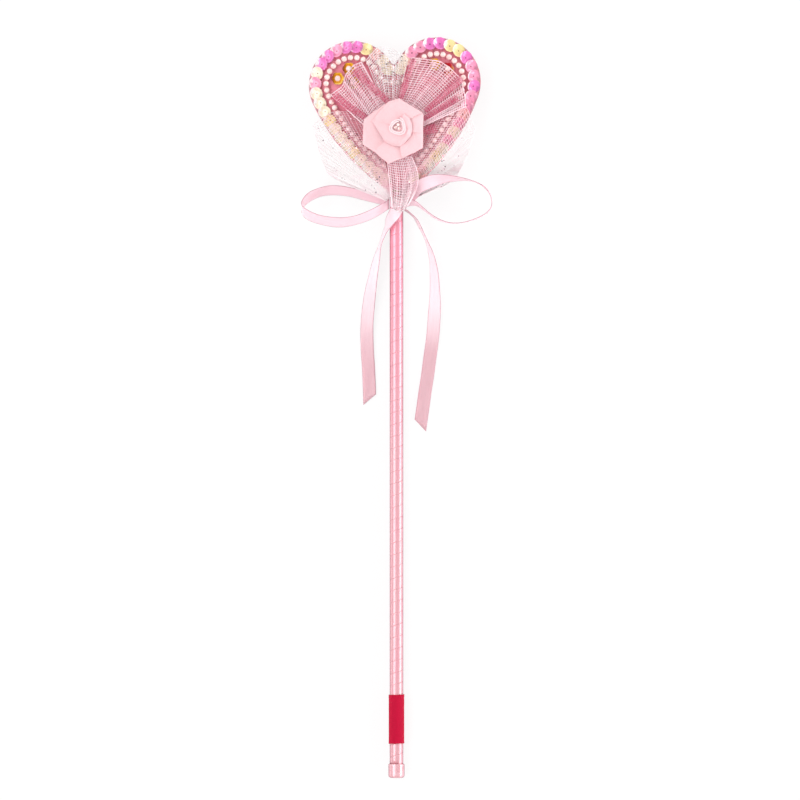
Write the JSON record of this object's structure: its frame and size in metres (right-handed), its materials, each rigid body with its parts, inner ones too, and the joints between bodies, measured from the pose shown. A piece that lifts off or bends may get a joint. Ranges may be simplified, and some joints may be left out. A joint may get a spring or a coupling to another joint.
{
  "type": "toy magic wand",
  "caption": "Toy magic wand: padded satin heart edged with sequins and pearls, tulle, a folded ribbon rose and a bow, on a ribbon-wound dowel with a rounded end cap.",
  "frame": {"origin": "middle of the heart's flat back, where it lies on the table", "axes": "+Z the way the heart's front faces, +Y along the dowel from the butt to the heart, +X to the heart's right as seen from the front"},
  "size_m": [0.103, 0.4005, 0.0292],
  "materials": {
    "dowel_wood": "raw",
    "rod_satin": "satin",
    "cap_plastic": "gloss",
    "label_woven": "woven",
    "heart_satin": "satin",
    "board_foam": "matte",
    "wadding": "matte",
    "sequin_film": "iridescent",
    "pearl_coat": "pearl",
    "gold_film": "gloss",
    "red_film": "gloss",
    "veil_tulle": "net",
    "net_tulle": "net",
    "felt": "felt",
    "rose_satin": "satin",
    "bead": "pearl",
    "bow_satin": "satin"
  },
  "bodies": {
    "root": {"rod_core": "dowel_wood", "rod_wrap": "rod_satin", "end_cap": "cap_plastic", "label_band": "label_woven", "heart_back_cover": "heart_satin", "heart_board": "board_foam", "heart_wadding": "wadding", "heart_front_cover": "heart_satin", "edge_sequins_left": "sequin_film", "edge_sequins_right": "sequin_film", "pearl_row_left": "pearl_coat", "pearl_row_right": "pearl_coat", "flower_cups_gold": "gold_film", "flower_cups_red": "red_film", "flower_pearls": "pearl_coat", "veil_left": "veil_tulle", "veil_right": "veil_tulle", "veil_cleft": "veil_tulle", "net_bow_left": "net_tulle", "net_bow_right": "net_tulle", "net_tail": "net_tulle", "rose_felt": "felt", "rose_petal_left": "rose_satin", "rose_petal_low_left": "rose_satin", "rose_petal_low_right": "rose_satin", "rose_petal_right": "rose_satin", "rose_petal_top": "rose_satin", "rose_inner_wrap": "rose_satin", "rose_bud": "rose_satin", "rose_beads": "bead", "bow_knot": "bow_satin", "bow_loop_left": "bow_satin", "bow_loop_right": "bow_satin", "bow_tail_left": "bow_satin", "bow_tail_right": "bow_satin"}
  },
  "joints": []
}
